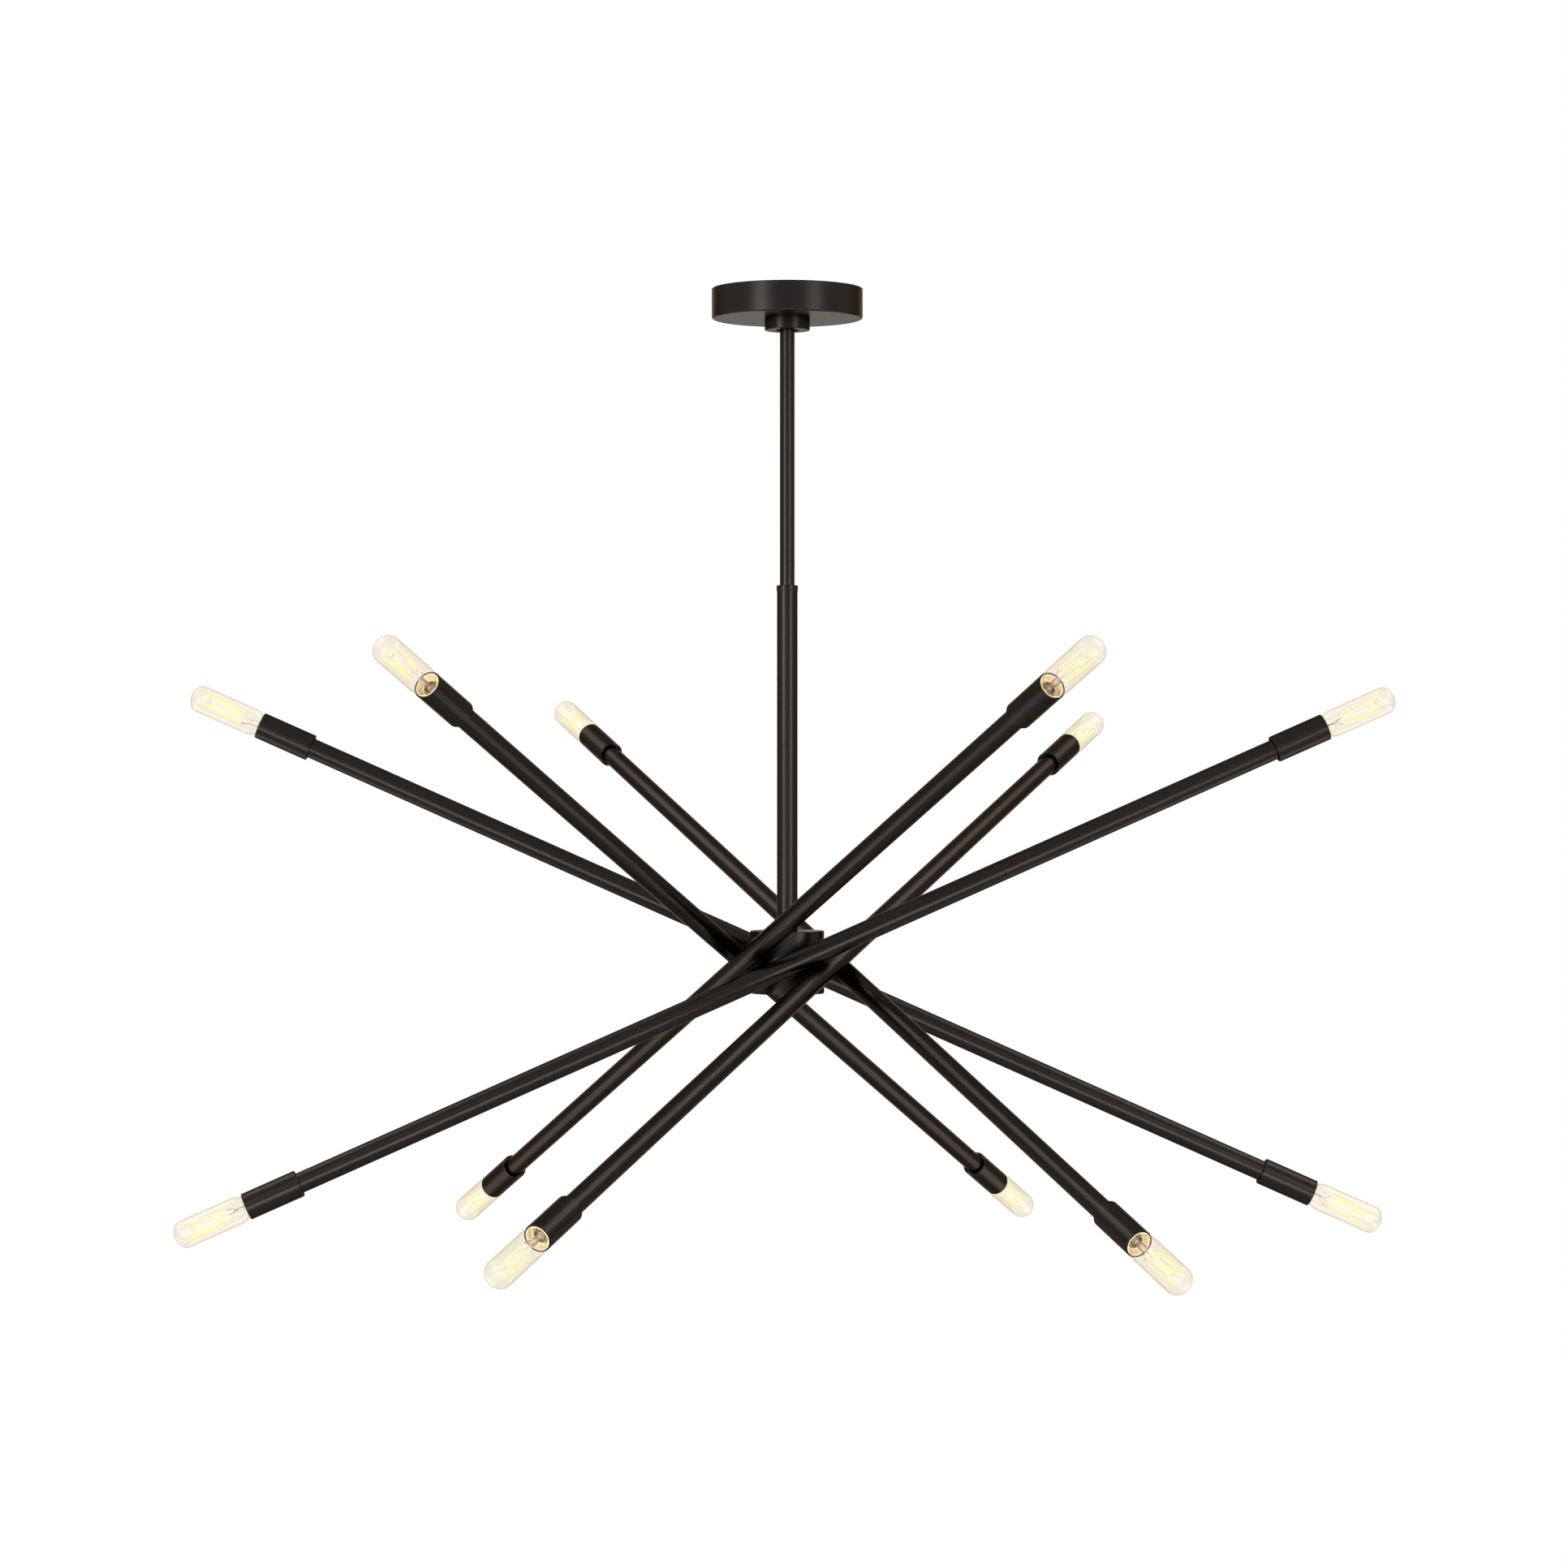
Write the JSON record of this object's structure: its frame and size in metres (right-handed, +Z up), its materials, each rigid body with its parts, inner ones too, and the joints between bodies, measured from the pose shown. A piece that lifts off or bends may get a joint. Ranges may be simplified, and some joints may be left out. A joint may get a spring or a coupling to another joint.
{
  "type": "sputnik chandelier",
  "caption": "Sputnik chandelier: round canopy, hang-straight swivel and stem, and a drum hub carrying crossed straight arms that pivot, with a tubular bulb at each end.",
  "frame": {"origin": "on the ceiling plane, at the centre of the canopy's top rim", "axes": "+Z up, out of the ceiling side of the canopy; -Y towards the viewer of the picture, +X to the viewer's right"},
  "size_m": [1.0421, 0.9589, 0.846],
  "materials": {
    "bronze_finish": "satin dark bronze coating on steel",
    "zinc_steel": "zinc-plated steel, plain",
    "lampholder": "moulded cream thermoset with a pale fibre liner",
    "bulb_glass": "clear glass, faintly cream",
    "bulb_cap": "stamped brass"
  },
  "bodies": {
    "canopy": {"canopy_shell": "bronze_finish", "mounting_strap": "zinc_steel", "ground_screw": "zinc_steel", "hanger_tube": "zinc_steel", "canopy_collar": "bronze_finish"},
    "swivel": {"swivel_stud": "zinc_steel"},
    "stem": {"swivel_fork": "zinc_steel", "swivel_pin": "zinc_steel", "upper_downrod": "bronze_finish", "lower_downrod": "bronze_finish", "stem_ring": "bronze_finish", "stem_tube": "bronze_finish", "hub_body": "bronze_finish", "hub_cover": "bronze_finish", "threaded_nipples": "zinc_steel", "lock_nuts": "zinc_steel", "arm_spacers": "bronze_finish", "round_nuts": "zinc_steel"},
    "arm_1": {"arm_1_tube": "bronze_finish", "arm_1_sleeves": "bronze_finish", "arm_1_sockets": "lampholder"},
    "bulb_1_raised": {"bulb_1_raised_glass": "bulb_glass", "bulb_1_raised_cap": "bulb_cap"},
    "bulb_1_low": {"bulb_1_low_glass": "bulb_glass", "bulb_1_low_cap": "bulb_cap"},
    "arm_2": {"arm_2_tube": "bronze_finish", "arm_2_sleeves": "bronze_finish", "arm_2_sockets": "lampholder"},
    "bulb_2_raised": {"bulb_2_raised_glass": "bulb_glass", "bulb_2_raised_cap": "bulb_cap"},
    "bulb_2_low": {"bulb_2_low_glass": "bulb_glass", "bulb_2_low_cap": "bulb_cap"},
    "arm_3": {"arm_3_tube": "bronze_finish", "arm_3_sleeves": "bronze_finish", "arm_3_sockets": "lampholder"},
    "bulb_3_raised": {"bulb_3_raised_glass": "bulb_glass", "bulb_3_raised_cap": "bulb_cap"},
    "bulb_3_low": {"bulb_3_low_glass": "bulb_glass", "bulb_3_low_cap": "bulb_cap"},
    "arm_4": {"arm_4_tube": "bronze_finish", "arm_4_sleeves": "bronze_finish", "arm_4_sockets": "lampholder"},
    "bulb_4_raised": {"bulb_4_raised_glass": "bulb_glass", "bulb_4_raised_cap": "bulb_cap"},
    "bulb_4_low": {"bulb_4_low_glass": "bulb_glass", "bulb_4_low_cap": "bulb_cap"},
    "arm_5": {"arm_5_tube": "bronze_finish", "arm_5_sleeves": "bronze_finish", "arm_5_sockets": "lampholder"},
    "bulb_5_raised": {"bulb_5_raised_glass": "bulb_glass", "bulb_5_raised_cap": "bulb_cap"},
    "bulb_5_low": {"bulb_5_low_glass": "bulb_glass", "bulb_5_low_cap": "bulb_cap"},
    "arm_6": {"arm_6_tube": "bronze_finish", "arm_6_sleeves": "bronze_finish", "arm_6_sockets": "lampholder"},
    "bulb_6_raised": {"bulb_6_raised_glass": "bulb_glass", "bulb_6_raised_cap": "bulb_cap"},
    "bulb_6_low": {"bulb_6_low_glass": "bulb_glass", "bulb_6_low_cap": "bulb_cap"}
  },
  "joints": [
    {"name": "swivel_turn", "type": "hinge", "parent": "canopy", "child": "swivel", "pos_m": [0, 0, -0.0091], "axis": [0, 0, 1], "range_deg": [-170, 170]},
    {"name": "stem_tilt", "type": "hinge", "parent": "swivel", "child": "stem", "pos_m": [0, 0, -0.019], "axis": [0, 1, 0], "range_deg": [-12, 12]},
    {"name": "arm_1_tilt", "type": "hinge", "parent": "stem", "child": "arm_1", "pos_m": [0.00361, -0.04586, -0.579], "axis": [0.0785, -0.9969, 0], "range_deg": [-1, 36.25]},
    {"name": "bulb_1_raised_screw", "type": "hinge", "parent": "arm_1", "child": "bulb_1_raised", "pos_m": [0.46177, -0.0098, -0.37678], "axis": [0.9125, 0.0718, 0.4027], "range_deg": [0, 1440]},
    {"name": "bulb_1_low_screw", "type": "hinge", "parent": "arm_1", "child": "bulb_1_low", "pos_m": [-0.45455, -0.08192, -0.78122], "axis": [-0.9125, -0.0718, -0.4027], "range_deg": [0, 1440]},
    {"name": "arm_2_tilt", "type": "hinge", "parent": "stem", "child": "arm_2", "pos_m": [0.04004, -0.02265, -0.579], "axis": [0.8704, -0.4924, 0], "range_deg": [-1, 37.75]},
    {"name": "bulb_2_raised_screw", "type": "hinge", "parent": "arm_2", "child": "bulb_2_raised", "pos_m": [0.26887, 0.38182, -0.38888], "axis": [0.4558, 0.8055, 0.3786], "range_deg": [0, 1440]},
    {"name": "bulb_2_low_screw", "type": "hinge", "parent": "arm_2", "child": "bulb_2_low", "pos_m": [-0.1888, -0.42712, -0.76912], "axis": [-0.4558, -0.8055, -0.3786], "range_deg": [0, 1440]},
    {"name": "arm_3_tilt", "type": "hinge", "parent": "stem", "child": "arm_3", "pos_m": [0.03984, 0.023, -0.579], "axis": [0.866, 0.5, 0], "range_deg": [-2, 36.5]},
    {"name": "bulb_3_raised_screw", "type": "hinge", "parent": "arm_3", "child": "bulb_3_raised", "pos_m": [-0.19039, 0.42177, -0.37879], "axis": [-0.4585, 0.7942, 0.3987], "range_deg": [0, 1440]},
    {"name": "bulb_3_low_screw", "type": "hinge", "parent": "arm_3", "child": "bulb_3_low", "pos_m": [0.27006, -0.37577, -0.77921], "axis": [0.4585, -0.7942, -0.3987], "range_deg": [0, 1440]},
    {"name": "arm_4_tilt", "type": "hinge", "parent": "stem", "child": "arm_4", "pos_m": [-0.0004, 0.046, -0.579], "axis": [-0.0087, 1, 0], "range_deg": [-2, 36]},
    {"name": "bulb_4_raised_screw", "type": "hinge", "parent": "arm_4", "child": "bulb_4_raised", "pos_m": [-0.45908, 0.04199, -0.37478], "axis": [-0.9135, -0.008, 0.4067], "range_deg": [0, 1440]},
    {"name": "bulb_4_low_screw", "type": "hinge", "parent": "arm_4", "child": "bulb_4_low", "pos_m": [0.45827, 0.05, -0.78322], "axis": [0.9135, 0.008, -0.4067], "range_deg": [0, 1440]},
    {"name": "arm_5_tilt", "type": "hinge", "parent": "stem", "child": "arm_5", "pos_m": [-0.0388, 0.02472, -0.579], "axis": [-0.8434, 0.5373, 0], "range_deg": [-4, 32.75]},
    {"name": "bulb_5_raised_screw", "type": "hinge", "parent": "arm_5", "child": "bulb_5_raised", "pos_m": [-0.27863, -0.35175, -0.3491], "axis": [-0.4777, -0.7498, 0.4579], "range_deg": [0, 1440]},
    {"name": "bulb_5_low_screw", "type": "hinge", "parent": "arm_5", "child": "bulb_5_low", "pos_m": [0.20104, 0.40119, -0.8089], "axis": [0.4777, 0.7498, -0.4579], "range_deg": [0, 1440]},
    {"name": "arm_6_tilt", "type": "hinge", "parent": "stem", "child": "arm_6", "pos_m": [-0.0388, -0.02472, -0.579], "axis": [-0.8434, -0.5373, 0], "range_deg": [-3, 33]},
    {"name": "bulb_6_raised_screw", "type": "hinge", "parent": "arm_6", "child": "bulb_6_raised", "pos_m": [0.20158, -0.40203, -0.35105], "axis": [0.4787, -0.7515, 0.454], "range_deg": [0, 1440]},
    {"name": "bulb_6_low_screw", "type": "hinge", "parent": "arm_6", "child": "bulb_6_low", "pos_m": [-0.27917, 0.3526, -0.80695], "axis": [-0.4787, 0.7515, -0.454], "range_deg": [0, 1440]}
  ]
}
